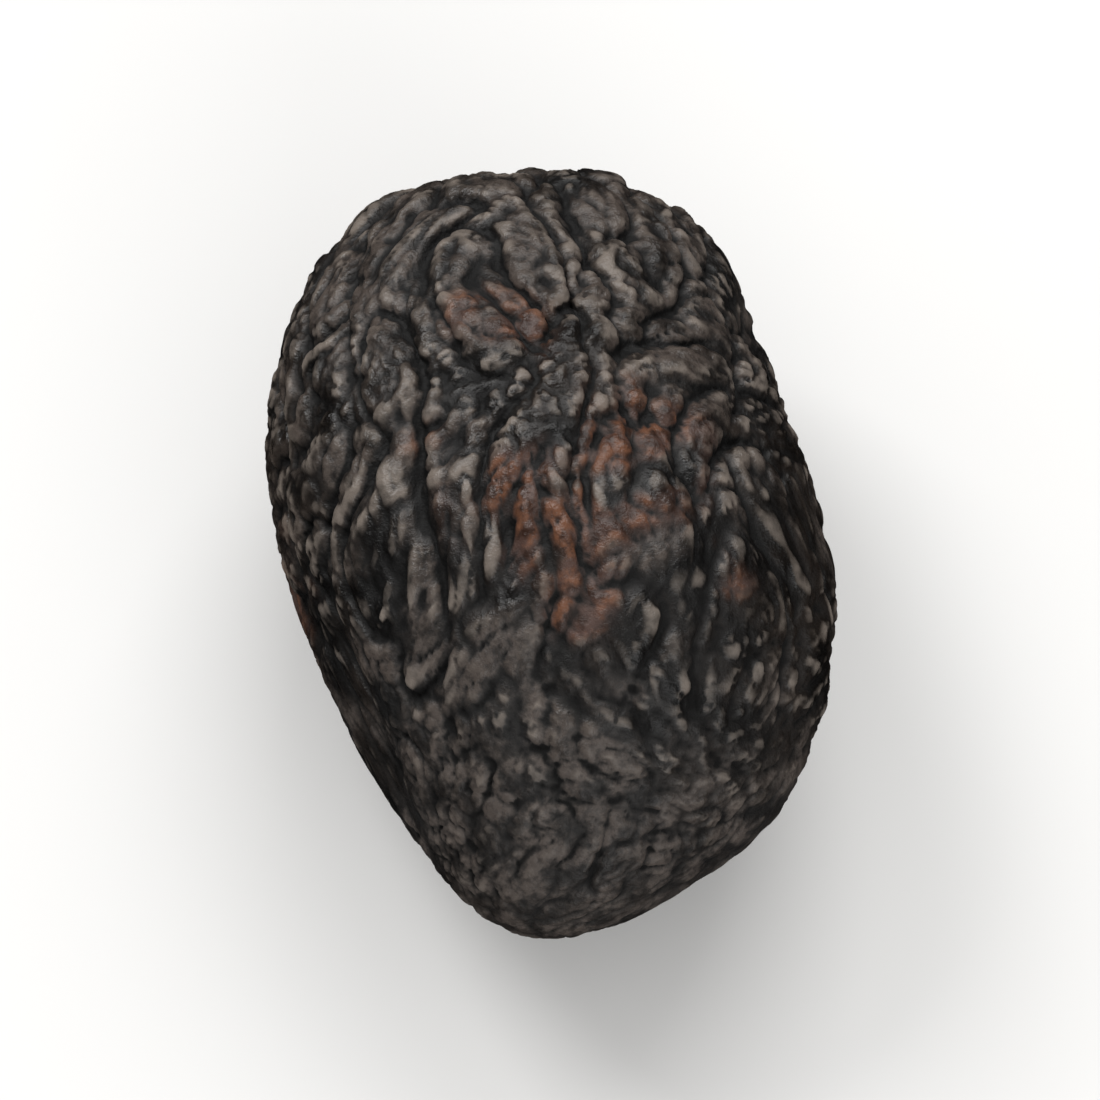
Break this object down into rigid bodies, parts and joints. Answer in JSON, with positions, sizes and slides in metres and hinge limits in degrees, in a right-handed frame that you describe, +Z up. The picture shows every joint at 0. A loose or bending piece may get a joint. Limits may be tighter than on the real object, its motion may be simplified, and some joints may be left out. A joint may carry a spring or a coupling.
{
  "type": "dried blackcurrant",
  "caption": "Egg-shaped dried berry with a folded, wrinkled, nearly black skin, a few reddish-brown patches and a small stalk scar, lying on a flat spot.",
  "frame": {"origin": "on the surface that the fruit lies on, under the middle of its box", "axes": "+Z up, +Y along the fruit from the narrow tip to the broad end with the stalk scar, +X across it"},
  "size_m": [0.008, 0.0114, 0.0071],
  "materials": {
    "skin": "dull satin, nearly black dried fruit skin with grey highlights on the folds and a few reddish-brown patches"
  },
  "bodies": {
    "root": {"dried_blackcurrant": "skin"}
  },
  "joints": []
}
